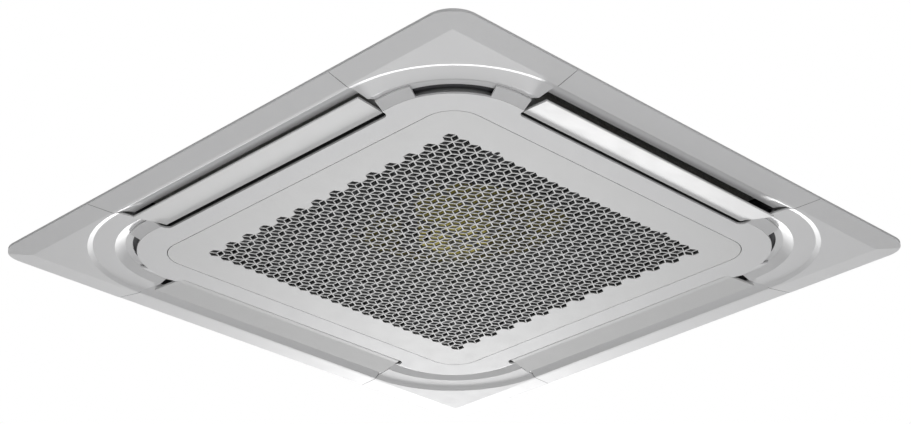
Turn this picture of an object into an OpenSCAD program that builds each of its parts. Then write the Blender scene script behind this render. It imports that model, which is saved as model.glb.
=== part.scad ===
// Ceiling cassette air conditioner with a square decorative panel.
// The origin is the centre of the ceiling's lower surface and +Z points up into the ceiling.
// Side 1 is +X, side 2 is +Y, side 3 is -X and side 4 is -Y. The grille hinges on side 2.

/* [Panel] */
// Width of the square panel
panel_w = 950; // [940:1:980]
// Radius of the panel's corners
panel_r = 39; // [20:1:50]
// Height of the panel's rim
rim_h = 4; // [3:0.5:6]
// Width of the sloping border inside the rim
slope_w = 37; // [25:1:38]
// Depth of the border's inner part below the ceiling
border_h = 7; // [6:0.5:9]
// Thickness of the panel's moulded skin
skin = 2.2; // [1.8:0.1:2.6]
// Width of the rim's flat flange against the ceiling
flange_w = 12; // [8:1:14]
// Width of the border outside the lip of the air outlets
border_w = 41.5; // [40:0.5:45]
// Length of the corner covers along the rim
cover_l = 221.5; // [217:0.5:225]
// Angle of the seams between strips and corner covers
seam_angle = 10.8; // [8:0.1:12]
// Gap at each seam
seam_gap = 0.5; // [0.3:0.1:1]
// Radius of the outlets' lip round the corners
bend_r = 183.5; // [181:0.5:188]

/* [Corner rings] */
// Width of the outer ridge
ridge_w = 7.5; // [5:0.5:9]
// Depth of the flat ring below the ceiling
ring_h = 4.5; // [3.5:0.5:5]
// Width of the flat ring
ring_w = 32; // [28:1:34]
// Width of the inner step
step_w = 15; // [12:1:16]
// Height of the channel above the ceiling line
channel_h = 2.5; // [1:0.5:3]
// Width of the channel
channel_w = 10.5; // [9:0.5:12]
// Width of the dark slot beside the inner ring
slot_w = 6.5; // [5:0.5:8]
// Angle that each tab covers round the bend
tab_angle = 19.5; // [14:0.5:24]

/* [Inner ring] */
// Depth of the inner ring's face below the ceiling
face_h = 8; // [7:0.5:9]
// Thickness of the inner ring
face_t = 2.8; // [2.4:0.1:3]
// How far the inner ring steps back at each flap
notch_w = 13; // [11:0.5:14]
// Radius of the notch corners
notch_r = 10; // [8:1:11]
// Height of the panel's top above the ceiling line
panel_top = 28; // [26:1:34]
// Thickness of the panel's inner walls
wall = 2; // [1.6:0.1:2.4]

/* [Outlets] */
// Width of the curved trough outside each flap
trough_w = 29.5; // [27:0.5:31]
// Rise of the trough from its lip to the outlet
trough_rise = 10; // [8:0.5:11]
// Width of the outlet duct
duct_w = 65; // [60:1:66]
// Distance from a seam to the duct's end wall
duct_end = 3; // [2:0.5:5]

/* [Flaps] */
// Width of a flap's blade
flap_w = 53.2; // [50:0.1:54]
// Thickness of the blade
flap_t = 3; // [2.4:0.1:3.2]
// Gap between the blade's inner edge and the inner ring
flap_gap = 6.4; // [5:0.1:7.5]
// Drop of the blade's outer edge below its inner edge
flap_drop = 2.8; // [2:0.1:3]
// Gap between the blade's ends and the corner covers
flap_end_gap = 5; // [4:0.5:6]
// Height of the flap's axis above the ceiling line
flap_axis_z = 16; // [15:0.5:17]
// Distance of the flap's axis outward from the blade's inner edge
flap_axis_in = 4.6; // [3:0.1:6]
// Radius of the flap's pins
flap_pin_r = 3; // [2:0.1:3.4]
// Distance of the flap's end arms in from the duct's end walls
flap_arm_in = 23; // [21:1:28]
// Angle at which the flap on side 4 rests open
flap_open = 6; // [0:0.5:20]
// Place of the middle bracket along the side
bracket_at = 20; // [10:1:40]

/* [Flap motors] */
// Radius of a flap motor
flap_motor_r = 12; // [10:0.5:12]
// Length of a flap motor
flap_motor_l = 18; // [14:1:20]

/* [Grille] */
// Least width of the inner ring beside the grille
land_w = 36.8; // [32:0.1:42]
// Radius of the grille's corners
grille_r = 46; // [38:1:50]
// Gap round the grille
grille_gap = 1.2; // [1:0.1:2]
// Thickness of the grille's face
grille_t = 2.5; // [2:0.1:3]
// Pitch of the cells
cell_pitch = 21.7; // [18:0.1:24]
// Width of the bars between the cells
bar_w = 1.9; // [1.4:0.1:2.6]
// Distance of the cells in from the grille's edge
pattern_in = 50; // [45:1:80]
// Height of the grille's inner wall
grille_wall_h = 8.5; // [6:0.5:10]
// Distance of the grille's inner wall in from its edge
grille_wall_in = 27; // [25:1:30]

/* [Grille hinge] */
// Distance of the hinge axis out from the grille's edge
hinge_out = 10.2; // [10.1:0.1:11]
// Height of the hinge axis above the grille's face
hinge_h = 5.4; // [5.3:0.1:5.6]
// Radius of the hinge pins
hinge_pin_r = 1.5; // [1.2:0.1:1.6]
// Distance of each hinge in from the grille's side
hinge_side = 151; // [120:1:200]
// Width of each hinge arm
hinge_arm_w = 6; // [4:0.5:8]

/* [Latches] */
// Width of a latch
latch_w = 24; // [16:1:30]
// Thickness of a latch
latch_t = 3; // [2:0.5:4]
// Travel of a latch
latch_travel = 6; // [4:0.5:6]
// Width of the ledge that the latches close over
keeper_w = 12.4; // [12.4:0.1:13]

/* [Filter] */
// Thickness of the filter's frame
filter_t = 3.4; // [2.5:0.1:3.6]
// Width of the filter's border
filter_border = 14; // [8:1:16]
// Width of the filter's ribs
filter_rib = 4; // [3:0.5:6]
// Thickness of the filter's net
net_t = 0.6; // [0.4:0.1:1]

/* [Cabinet] */
// Thickness of the foam liner's sides
liner_t = 14; // [12:1:18]
// Height of the cabinet
body_h = 246; // [240:1:290]
// Length cut off each corner of the cabinet
body_cut = 120; // [115:1:120]
// Thickness of the cabinet's sheet
sheet_t = 1.2; // [1:0.1:1.6]
// Width of the cabinet's bottom flange
body_flange = 12; // [8:1:13]
// Thickness of the seal between panel and cabinet
seal_t = 4; // [3:0.5:6]

/* [Hangers] */
// Distance of the hanging rods in from the cabinet's sides along X
rod_in_x = 30; // [25:1:35]
// Distance of the hanging rods in from the cabinet's sides along Y
rod_in_y = 65; // [62:1:70]
// Half width of a hanger's slot
hanger_slot_r = 6; // [5.5:0.1:7]
// Length of a hanger's slot
hanger_slot_l = 26; // [20:1:30]
// Thickness of a hanger bracket
hanger_t = 3; // [2:0.5:4]

/* [Bell mouth] */
// Width of the fan outside the throat
shroud_w = 58; // [56:1:62]
// Height of the bell mouth's lip above the ceiling line
lip_z = 10; // [8:1:16]
// Thickness of the bell mouth
bell_t = 2; // [1.6:0.1:2.4]
// Flare of the lip outside the throat
bell_flare = 12; // [8:1:16]
// Distance of the bell mouth's plate in from the outlet ducts
bell_in = 41; // [37:1:47]

/* [Fan] */
// Gap between the fan and the heat exchanger
fan_gap = 32; // [28:1:38]
// Width of the ring of blades
blade_w = 74; // [70:1:78]
// Number of blades
blade_count = 7; // [5:1:9]
// Thickness of a blade
blade_t = 11; // [6:0.5:14]
// Distance of the fan's back plate below the cabinet's top
fan_below = 73; // [72:1:83]
// Thickness of the fan's plates
fan_t = 3; // [2.4:0.1:3.6]
// Radius of the flat nose
nose_r = 52; // [50:1:56]
// Height of the nose
nose_z = 14; // [13:1:20]
// Radius of the fan shaft
shaft_r = 4; // [3:0.5:5]

/* [Fan motor] */
// Radius of the fan motor as a share of the radius of the fan's dome
motor_share = 0.3263; // [0.26:0.0001:0.34]
// Height of the fan motor
motor_h = 72; // [60:1:80]
// Distance of the rubber mounts out from the motor
mount_out = 26; // [22:1:30]

/* [Heat exchanger] */
// Gap between the coil and the outlet ducts
coil_gap = 35; // [31:1:39]
// Thickness of the coil
coil_t = 38; // [25:1:40]
// Inner radius of the coil's bends
coil_r = 52; // [45:1:60]
// Room above the coil for the foam lid
lid_room = 30; // [28:1:58]
// Radius of the gas pipe
gas_r = 7.94; // [6.35:0.01:9.53]
// Radius of the liquid pipe
liquid_r = 4.76; // [3.18:0.01:4.77]
// Radius of the drain outlet
drain_r = 16; // [12:0.5:16]

/* [Hidden] */
$fn = 96;

// Colours
panel_white = [0.82, 0.82, 0.82];
flap_white = [0.86, 0.86, 0.86];
grille_white = [0.80, 0.80, 0.80];
olive = [0.42, 0.40, 0.20];
steel = [0.66, 0.68, 0.70];
dark_steel = [0.30, 0.31, 0.32];
foam_white = [0.93, 0.93, 0.91];
foam_black = [0.12, 0.12, 0.12];
copper = [0.72, 0.45, 0.30];
brass = [0.75, 0.62, 0.32];
fins_grey = [0.72, 0.74, 0.76];
board_green = [0.10, 0.35, 0.20];
plastic_grey = [0.55, 0.56, 0.57];
rubber_black = [0.08, 0.08, 0.08];

// Overrun of cuts, gap between resting pieces and radial clearance of running fits
over = 1;
fit = 0.3;
running = 0.06;

// Distances from the centre, from the rim inward
panel_half = panel_w / 2;
lip_half = panel_half - border_w;
seam_half = panel_half - cover_l;
bend_half = lip_half - bend_r;
ridge_half = lip_half - ridge_w;
ring_half = ridge_half - ring_w;
step_half = ring_half - step_w;
cover_half = step_half - channel_w;
plate_half = cover_half - slot_w;
notch_half = plate_half - notch_w;
duct_out = lip_half - trough_w;
duct_in = duct_out - duct_w;
duct_half = seam_at(duct_out) + duct_end;
flap_arm_half = duct_half - flap_arm_in;
opening_half = notch_half - land_w;
grille_half = opening_half - grille_gap;
opening_r = grille_r + grille_gap;
box_wall_half = opening_half + keeper_w + wall;
body_half = duct_out + wall + liner_t;
bell_half = duct_in - wall - bell_in;
coil_in = duct_in - wall - coil_gap - coil_t;
fan_r = coil_in - fan_gap;
blade_in_r = fan_r - blade_w;
throat_r = fan_r - shroud_w;
back_rim_w = 42;
dome_r = fan_r - back_rim_w;
motor_r = motor_share * dome_r;
mount_circle_r = motor_r + mount_out;
pan_h = 28;
coil_h = body_h - pan_h - lid_room;

// Heights
face_top_z = face_t - face_h;
grille_top_z = grille_t - face_h;
cover_top_z = channel_h + skin;
deck_z = cover_top_z + skin;
body_z = panel_top + seal_t;
body_top_z = body_z + body_h;
fan_back_z = body_top_z - fan_below;
pan_floor_z = body_z + sheet_t;

function seam_at(u) = seam_half - (panel_half - u) * tan(seam_angle);

// A square with rounded corners, given by its half width and corner radius
module rounded_square(half, r) {
    square([2 * half, 2 * (half - r)], center = true);
    square([2 * (half - r), 2 * half], center = true);
    for (x = [-1, 1], y = [-1, 1])
        translate([x * (half - r), y * (half - r)]) circle(r);
}

// A square with its corners cut off
module cut_square(half, cut) {
    a = half;
    b = half - cut;
    polygon([[a, b], [b, a], [-b, a], [-a, b], [-a, -b], [-b, -a], [b, -a], [a, -b]]);
}

// Turns its children from side 1 to the side given
module at_side(n) {
    rotate(90 * (n - 1)) children();
}

module on_all_sides() {
    for (n = [1 : 4]) at_side(n) children();
}

// Runs an outline, drawn as distance from the centre and height, along side 1
module run_along(length) {
    rotate([90, 0, 0]) linear_extrude(length, center = true) children();
}

// Runs such an outline round the corner between sides 1 and 2, with a straight leg at each end
module run_round(leg) {
    translate([bend_half, bend_half]) {
        rotate_extrude(angle = 90) translate([-bend_half, 0]) children();
        straight_leg(leg) children();
        mirror([1, -1, 0]) straight_leg(leg) children();
    }
}

module straight_leg(leg) {
    translate([0, over / 4, 0])
        rotate([90, 0, 0])
            linear_extrude(leg + over / 4) translate([-bend_half, 0]) children();
}

// The plan of side 1 between its two seams, drawn in by a gap
module side_plan(gap, inner, outer) {
    a = seam_at(inner) - gap;
    b = seam_at(outer) - gap;
    polygon([[inner, -a], [outer, -b], [outer, b], [inner, a]]);
}

// The plan of the corner between sides 1 and 2 beyond the seams
module corner_plan(gap, inner) {
    outer = panel_half + over;
    a = seam_at(inner) + gap;
    b = seam_at(outer) + gap;
    polygon([[inner, a], [outer, b], [outer, outer], [b, outer], [a, inner]]);
}

// The panel

rim_chamfer = 0.8;
trough_steps = 12;
strip_rib_w = 10;
base_t = 1.8;
base_in = ring_half + skin;
end_rib_at = seam_at(duct_out);

function trough_u(k) = lip_half - trough_w * k;
function trough_z(k) = trough_rise * (1 - (1 - k) * (1 - k)) - border_h;

module strip_outline() {
    back = 1 - wall / trough_w;
    flange_in = panel_half - flange_w;
    slope_in = panel_half - slope_w;
    rise = (border_h - rim_h) * (flange_w - rim_chamfer) / (slope_w - rim_chamfer);
    polygon(concat(
        [[panel_half, 0], [panel_half, rim_chamfer - rim_h], [panel_half - rim_chamfer, -rim_h]],
        [[slope_in, -border_h]],
        [for (i = [0 : trough_steps]) [trough_u(i / trough_steps), trough_z(i / trough_steps)]],
        [[duct_out, deck_z], [duct_out + wall, deck_z]],
        [for (i = [trough_steps : -1 : 0])
            [trough_u(back * i / trough_steps), trough_z(back * i / trough_steps) + skin]],
        [[slope_in, skin - border_h], [flange_in, skin - rim_h - rise], [flange_in, 0]]
    ));
}

// A strip along side 1, with ribs at its ends that rest under the corner bases
module side_strip() {
    inner = panel_half - slope_w;
    intersection() {
        run_along(2 * seam_half) strip_outline();
        translate([0, 0, -border_h - over])
            linear_extrude(deck_z + border_h + 2 * over)
                side_plan(seam_gap / 2, duct_out - over, panel_half + over);
    }
    for (v = [-1, 1])
        translate([inner, v * (end_rib_at - strip_rib_w / 2) - strip_rib_w / 2, skin / 2 - border_h])
            cube([slope_w - flange_w, strip_rib_w, border_h - skin / 2 - base_t]);
}

module side_strips() {
    color(panel_white) on_all_sides() side_strip();
}

module duct_walls() {
    ring = duct_half + wall;
    translate([0, 0, deck_z])
        linear_extrude(panel_top - deck_z)
            difference() {
                translate([duct_in - wall, -ring]) square([duct_w + 2 * wall, 2 * ring]);
                translate([duct_in, -duct_half]) square([duct_w, 2 * duct_half]);
            }
    translate([duct_in - wall, -ring, face_top_z]) cube([wall, 2 * ring, deck_z + over - face_top_z]);
    for (v = [-1, 1])
        translate([duct_in - wall, v * (duct_half + wall / 2) - wall / 2, face_top_z])
            cube([plate_half - duct_in, wall, deck_z + over - face_top_z]);
}

// The base under a corner cover, with its bridge over the channel
module corner_base() {
    rib_end = end_rib_at - strip_rib_w;
    difference() {
        union() {
            translate([0, 0, -base_t])
                linear_extrude(base_t)
                    difference() {
                        intersection() {
                            rounded_square(panel_half - flange_w - fit, panel_r - flange_w);
                            union() {
                                corner_plan(seam_gap + skin, cover_half);
                                for (m = [0, 1]) mirror([m, -m, 0])
                                    translate([panel_half - slope_w, rib_end])
                                        square([slope_w, panel_half]);
                            }
                        }
                        rounded_square(base_in, base_in - bend_half);
                    }
            run_round(bend_half - duct_half - wall)
                polygon([
                    [base_in, -base_t], [base_in + wall, -base_t], [base_in + wall, deck_z + wall],
                    [bridge_in, deck_z + wall], [bridge_in, face_top_z],
                    [bridge_in + wall, face_top_z], [bridge_in + wall, deck_z], [base_in, deck_z]
                ]);
        }
        for (m = [0, 1]) mirror([m, -m, 0]) motor_pocket();
        panel_screw_at() cylinder(r = screw_r + fit, h = 4 * deck_z, center = true);
    }
}

module corner_bases() {
    color(panel_white) on_all_sides() corner_base();
}

bridge_in = plate_half - 5 * wall;
pocket_gap = 1.5;

module motor_pocket() {
    size = flap_motor_r + pocket_gap;
    translate([flap_axis_u - size, duct_half + wall, cover_top_z - pocket_gap])
        cube([2 * size, flap_motor_l + 2 * pocket_gap, panel_top]);
}

// Tabs that close the channel next to each flap
module channel_tabs() {
    outline = [
        [plate_half - over, -face_h], [step_half - over / 2, -over / 2],
        [step_half - over / 2, channel_h - fit], [plate_half - over, face_top_z]
    ];
    for (m = [0, 1]) mirror([m, -m, 0]) {
        translate([bend_half, bend_half])
            rotate_extrude(angle = tab_angle) translate([-bend_half, 0]) polygon(outline);
        intersection() {
            translate([bend_half, bend_half])
                straight_leg(bend_half - seam_at(plate_half) + over)
                    polygon(outline);
            translate([0, 0, -face_h - over])
                linear_extrude(2 * face_h) corner_plan(seam_gap, plate_half - 2 * over);
        }
    }
}

module notch_plan() {
    end = seam_at(notch_half + notch_r);
    translate([notch_half, -(end - notch_r)]) square([notch_r + over, 2 * (end - notch_r)]);
    for (v = [-1, 1]) translate([notch_half + notch_r, v * (end - notch_r)]) circle(notch_r);
    side_plan(0, notch_half + notch_r, plate_half + over);
}

// The flat ring round the grille, with the tabs between the flaps and the corner channels
module panel_frame() {
    color(panel_white) {
        translate([0, 0, -face_h])
            linear_extrude(face_t)
                difference() {
                    rounded_square(plate_half, plate_half - bend_half);
                    on_all_sides() notch_plan();
                    rounded_square(opening_half, opening_r);
                }
        on_all_sides() channel_tabs();
    }
}

// Flap bearings: a boss at one end of each duct and a bracket near its middle
boss_r = 6.5;
boss_in = flap_arm_half + 2 * pocket_gap + skin;
bracket_w = 5;

module flap_bearings() {
    at_flap_axis() rotate([-90, 0, 0]) translate([0, 0, boss_in])
        cylinder(r = boss_r, h = duct_half - boss_in + wall / 2);
    translate([0, bracket_at, 0])
        run_along(bracket_w) {
            polygon([
                [duct_in - wall / 2, flap_axis_z - boss_r - over / 2], [flap_axis_u, flap_axis_z - boss_r],
                [flap_axis_u, flap_axis_z + boss_r], [duct_in - wall / 2, panel_top - wall]
            ]);
            translate([flap_axis_u, flap_axis_z]) circle(boss_r);
        }
}

module flap_bores() {
    at_flap_axis() rotate([-90, 0, 0]) {
        translate([0, 0, boss_in - over])
            cylinder(r = flap_pin_r + running, h = duct_half - boss_in + over);
        translate([0, 0, bracket_at]) cylinder(r = flap_pin_r + running, h = 3 * bracket_w, center = true);
        translate([0, 0, -duct_half - 2 * wall]) cylinder(r = motor_hub_r + 2 * fit, h = 4 * wall);
    }
}

module outlet_ducts() {
    color(panel_white)
    on_all_sides() difference() {
        union() {
            duct_walls();
            flap_bearings();
        }
        flap_bores();
    }
}

// Arms with eyes for the grille's hinge pins, on the wall round the grille
module hinge_arms() {
    for (x = [-1, 1]) at_side(2) translate([0, x * hinge_x, 0])
        difference() {
            run_along(hinge_arm_w) {
                translate([hinge_u, hinge_z - lug_r])
                    square([box_wall_half - wall / 2 - hinge_u, 2 * lug_r]);
                translate([hinge_u, hinge_z]) circle(lug_r);
            }
            translate([hinge_u, 0, hinge_z]) rotate([90, 0, 0])
                cylinder(r = hinge_pin_r + running, h = 2 * hinge_arm_w, center = true);
        }
}

// The wall that stands on the ring behind the grille's edge
module grille_box() {
    color(panel_white) {
        translate([0, 0, face_top_z])
            linear_extrude(panel_top - face_top_z)
                difference() {
                    rounded_square(box_wall_half, opening_r);
                    rounded_square(box_wall_half - wall, opening_r - wall);
                }
        hinge_arms();
    }
}

// Corner covers, drawn between sides 1 and 2

module border_prism(lift) {
    outer = panel_half + over;
    run_along(2 * outer)
        polygon([
            [0, lift - border_h], [panel_half - slope_w, lift - border_h],
            [panel_half, lift - rim_h], [outer, lift - rim_h], [outer, over], [0, over]
        ]);
}

module border_solid(lift) {
    intersection() {
        border_prism(lift);
        mirror([1, -1, 0]) border_prism(lift);
    }
}

module corner_cover() {
    color(panel_white)
    intersection() {
        union() {
            difference() {
                intersection() {
                    border_solid(0);
                    translate([0, 0, -border_h - over])
                        linear_extrude(border_h + over)
                            difference() {
                                rounded_square(panel_half, panel_r);
                                rounded_square(lip_half, lip_half - bend_half);
                            }
                }
                intersection() {
                    border_solid(skin);
                    translate([0, 0, -border_h])
                        linear_extrude(border_h + over)
                            rounded_square(panel_half - flange_w, panel_r - flange_w);
                }
            }
            run_round(bend_half - seam_at(cover_half) + over)
                polygon([
                    [lip_half + over, -border_h], [lip_half, -border_h], [ridge_half, -ring_h],
                    [ring_half, -ring_h], [step_half, channel_h], [cover_half, channel_h],
                    [cover_half, cover_top_z], [step_half + over, cover_top_z],
                    [ring_half + over, skin - ring_h], [ridge_half, skin - ring_h],
                    [lip_half, skin - border_h], [lip_half + over, skin - border_h]
                ]);
        }
        translate([0, 0, -border_h - over])
            linear_extrude(cover_top_z + border_h + 2 * over)
                corner_plan(seam_gap / 2, cover_half - 4 * over);
    }
}

// Flaps, drawn on side 1

flap_in = notch_half + flap_gap;
flap_out = flap_in + flap_w;
flap_axis_u = flap_in + flap_axis_in;
flap_in_z = -face_h + flap_drop;
flap_out_z = flap_in_z - flap_drop;
flap_flat = 9;
flap_edge = 1;
arm_t = 3;
arm_r = 5;
arm_reach = 34;
motor_hub_r = 4.5;

module at_flap_axis() {
    translate([flap_axis_u, 0, flap_axis_z]) children();
}

module blade_outline() {
    polygon([
        [flap_in, flap_in_z + flap_edge], [flap_in + flap_edge, flap_in_z],
        [flap_in + flap_flat, flap_in_z], [flap_out - flap_edge, flap_out_z],
        [flap_out, flap_out_z + flap_edge], [flap_out, flap_out_z + flap_t - flap_edge],
        [flap_out - 2 * flap_edge, flap_out_z + flap_t],
        [flap_in + flap_flat, flap_in_z + flap_t], [flap_in + flap_edge, flap_in_z + flap_t],
        [flap_in, flap_in_z + flap_t - flap_edge]
    ]);
}

module flap_arm(at) {
    translate([0, at, 0])
        run_along(arm_t) {
            polygon([
                [flap_axis_u - arm_r, flap_axis_z], [flap_in + flap_edge, flap_in_z + flap_t / 2],
                [flap_in + arm_reach, flap_out_z + flap_t], [flap_axis_u + arm_r, flap_axis_z]
            ]);
            translate([flap_axis_u, flap_axis_z]) circle(arm_r);
        }
}

module flap(angle) {
    arm_gap = bracket_w / 2 + arm_t / 2 + 2 * fit;
    color(flap_white)
    at_flap_axis() rotate([0, angle, 0]) translate([-flap_axis_u, 0, -flap_axis_z]) {
        intersection() {
            run_along(2 * seam_half) blade_outline();
            translate([0, 0, -panel_top])
                linear_extrude(2 * panel_top) side_plan(flap_end_gap, flap_in - over, flap_out + over);
        }
        for (at = [-flap_arm_half, bracket_at - arm_gap, bracket_at + arm_gap, flap_arm_half])
            flap_arm(at);
        at_flap_axis() rotate([-90, 0, 0]) {
            for (s = [-1, 1]) translate([0, 0, s * (flap_arm_half + duct_half - 2 * over) / 2])
                cylinder(r = flap_pin_r, h = duct_half - flap_arm_half - 2 * over, center = true);
            translate([0, 0, bracket_at]) cylinder(r = flap_pin_r, h = 2 * arm_gap, center = true);
        }
    }
}

module flap_motor() {
    ear_t = 1;
    ear_r = 4;
    ear_at = flap_motor_r + ear_r;
    color(plastic_grey)
    at_flap_axis() rotate([90, 0, 0])
    difference() {
        union() {
            translate([0, 0, boss_in]) cylinder(r = motor_hub_r, h = duct_half + wall - boss_in + over);
            translate([0, 0, duct_half + wall]) {
                cylinder(r = flap_motor_r, h = flap_motor_l);
                linear_extrude(ear_t) {
                    square([2 * ear_at, 2 * ear_r], center = true);
                    for (s = [-1, 1]) translate([s * ear_at, 0]) circle(ear_r);
                }
            }
        }
        translate([0, 0, boss_in - over])
            cylinder(r = flap_pin_r + running, h = duct_half - boss_in + over);
    }
}

// The grille, closed, with its hinge on side 2

cell_r = cell_pitch / sqrt(3);
cell_rise = 1.5 * cell_r;
hole_r = cell_r - bar_w / sqrt(3);
cell_cols = floor(2 * (grille_half - pattern_in) / cell_pitch);
cell_rows = 2 * floor((grille_half - pattern_in - cell_r) / cell_rise) + 1;
latch_x = round(cell_cols / 3) * cell_pitch;
hinge_u = grille_half + hinge_out;
hinge_z = hinge_h - face_h;
hinge_x = grille_half - hinge_side;
lug_t = 3;
lug_r = 2.4;
lug_gap = 0.5;
hook_t = 2.5;
hook_web = 1.5;
hook_steps = 8;
hook_r = norm([hinge_u - opening_half, hinge_h]) + fit;
grille_wall_half = grille_half - grille_wall_in;
grille_wall_r = 14;
finger_r = 3.5;
finger_y = cell_rise * (cell_rows - 1) / 2 + cell_r / 2 + finger_r / 4;
filter_z = grille_top_z + latch_t + 2 * fit;
filter_half = grille_wall_half - 3 * wall;
latch_side_gap = 0.5;

function cells_in(row) = cell_cols - row % 2;

module cell_plan() {
    for (row = [0 : cell_rows - 1], i = [0 : cells_in(row) - 1])
        translate([
            (i - (cells_in(row) - 1) / 2) * cell_pitch,
            (row - (cell_rows - 1) / 2) * cell_rise
        ])
            rotate(30) circle(hole_r, $fn = 6);
}

module finger_slots() {
    for (x = [-1, 1]) translate([x * latch_x, -finger_y]) {
        circle(finger_r);
        translate([0, -latch_travel]) circle(finger_r);
        translate([-finger_r, -latch_travel]) square([2 * finger_r, latch_travel]);
    }
}

// A hook that passes over the ring's edge from the grille's back to the hinge pin
module hook_outline() {
    lug_in = grille_wall_half - wall / 2;
    low = 90 + asin(hook_web / hook_r);
    high = 90 - asin(hook_web / (hook_r + hook_t));
    translate([hinge_u, hinge_z]) {
        polygon(concat(
            [[lug_in - hinge_u, grille_top_z - hinge_z], [-hook_r, grille_top_z - hinge_z]],
            [for (i = [0 : hook_steps]) let (a = 180 - (180 - low) * i / hook_steps)
                [hook_r * cos(a), hook_r * sin(a)]],
            [[-hook_web, 0], [hook_web, 0]],
            [for (i = [0 : hook_steps]) let (a = high + (180 - high) * i / hook_steps)
                [(hook_r + hook_t) * cos(a), (hook_r + hook_t) * sin(a)]],
            [[lug_in - hinge_u, 0]]
        ));
        circle(lug_r);
    }
}

module hinge_lugs() {
    for (x = [-1, 1]) at_side(2) translate([0, x * hinge_x, 0]) {
        for (s = [-1, 1]) translate([0, s * (hinge_arm_w / 2 + lug_gap + lug_t / 2), 0])
            run_along(lug_t) hook_outline();
        translate([hinge_u, 0, hinge_z]) rotate([90, 0, 0])
            cylinder(r = hinge_pin_r, h = hinge_arm_w + 2 * lug_gap + lug_t, center = true);
    }
}

module grille() {
    color(grille_white)
    translate([0, 0, -face_h])
        linear_extrude(grille_t)
            difference() {
                rounded_square(grille_half, grille_r);
                cell_plan();
                finger_slots();
            }
}

// The frame on the grille's back, with the ledge for the filter and the hinge lugs
module grille_frame() {
    notch_w = latch_w + 2 * latch_side_gap;
    color(grille_white) {
        translate([0, 0, grille_top_z])
            difference() {
                union() {
                    linear_extrude(grille_wall_h)
                        difference() {
                            rounded_square(grille_wall_half, grille_wall_r);
                            rounded_square(grille_wall_half - wall, grille_wall_r - wall);
                        }
                    linear_extrude(filter_z - grille_top_z)
                        difference() {
                            rounded_square(grille_wall_half - wall / 2, grille_wall_r);
                            rounded_square(filter_half - 2 * wall, grille_wall_r);
                        }
                }
                for (x = [-1, 1]) translate([x * latch_x - notch_w / 2, -grille_half, -over])
                    cube([notch_w, grille_half, latch_t + 2 * fit + over]);
            }
        hinge_lugs();
    }
}

module latch(x) {
    inner = finger_y - latch_w / 2;
    outer = grille_half - wall;
    tongue = keeper_w + wall;
    color(plastic_grey)
    translate([x, 0, grille_top_z + fit]) {
        translate([-latch_w / 2, tongue - outer, 0]) cube([latch_w, outer - tongue - inner, latch_t]);
        translate([-latch_w / 2, -outer, face_top_z - grille_top_z])
            cube([latch_w, 2 * tongue, latch_t - face_top_z + grille_top_z]);
        translate([0, -finger_y, fit - grille_t])
            cylinder(r = finger_r - 2 * latch_side_gap, h = grille_t + fit);
    }
}

filter_x_shares = [-0.53, 0, 0.51];
filter_y_shares = [-0.41, -0.105, 0.11, 0.40, 0.69];

module filter_frame() {
    inner = filter_half - filter_border;
    color(plastic_grey)
    translate([0, 0, filter_z])
        linear_extrude(filter_t) {
            difference() {
                square(2 * filter_half, center = true);
                square(2 * inner, center = true);
            }
            for (share = filter_x_shares) translate([share * filter_half, 0])
                square([filter_rib, 2 * inner + over], center = true);
            for (share = filter_y_shares) translate([0, share * filter_half])
                square([2 * inner + over, filter_rib], center = true);
        }
}

module filter_net() {
    color(dark_steel)
    translate([0, 0, filter_z + filter_t])
        linear_extrude(net_t) square(2 * filter_half - filter_border, center = true);
}

// Seal and screws between panel and cabinet

screw_in = 13.1;
screw_r = 2.5;
screw_head_r = 5;
screw_head_h = 2.4;
screw_end = 10;
lug_w = 30;

module panel_screw_at() {
    at = (body_w - body_cut) / 2 - screw_in;
    translate([at, at, 0]) children();
}

module panel_seal() {
    inner = duct_in - wall;
    outer = duct_out + wall;
    half = duct_half + wall;
    color(foam_black)
    on_all_sides() translate([0, 0, panel_top])
        linear_extrude(seal_t)
            difference() {
                translate([inner - wall, -half - wall])
                    square([outer - inner + 2 * wall, 2 * (half + wall)]);
                translate([duct_in, -duct_half]) square([duct_w, 2 * duct_half]);
            }
}

module panel_screws() {
    color(steel)
    on_all_sides() panel_screw_at() {
        translate([0, 0, deck_z - screw_head_h]) cylinder(r = screw_head_r, h = screw_head_h);
        translate([0, 0, deck_z - over]) cylinder(r = screw_r, h = body_z + screw_end - deck_z);
    }
}

// The cabinet

body_w = 2 * body_half;
hanger_x = body_w - 2 * rod_in_x;
hanger_y = body_w - 2 * rod_in_y;
corner_out = (body_w - body_cut) / sqrt(2);
corner_joint = 0.2;
knock_t = 1.8;
header_in = 14;
drain_in = 134;
cable_in = 38;
cable_hole_r = 20;
cable_plate_w = 60;
flange_cut = body_cut + lug_w * sqrt(2) - 2 * body_flange;
swage_h = 8;
swage_at_shares = [0.12, 0.88];
pipe_in = coil_in - header_in;
gas_y = -pipe_in;
gas_z = 180;
liquid_y = -coil_in - coil_t / 2;
liquid_z = 110;
drain_y = body_half - drain_in;
drain_below = 64;
drain_z = body_top_z - drain_below;
hole_gap = 4;
knockout_r = 50;
cable_r = 11;
cable_y = body_half - body_cut - cable_in;

module pipe_holes(grow) {
    translate([0, gas_y, gas_z]) rotate([0, 90, 0]) cylinder(r = gas_r + grow, h = body_w);
    translate([0, liquid_y, liquid_z]) rotate([0, 90, 0]) cylinder(r = liquid_r + grow, h = body_w);
    translate([0, drain_y, drain_z]) rotate([0, 90, 0]) cylinder(r = drain_r + grow, h = body_w);
}

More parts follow.
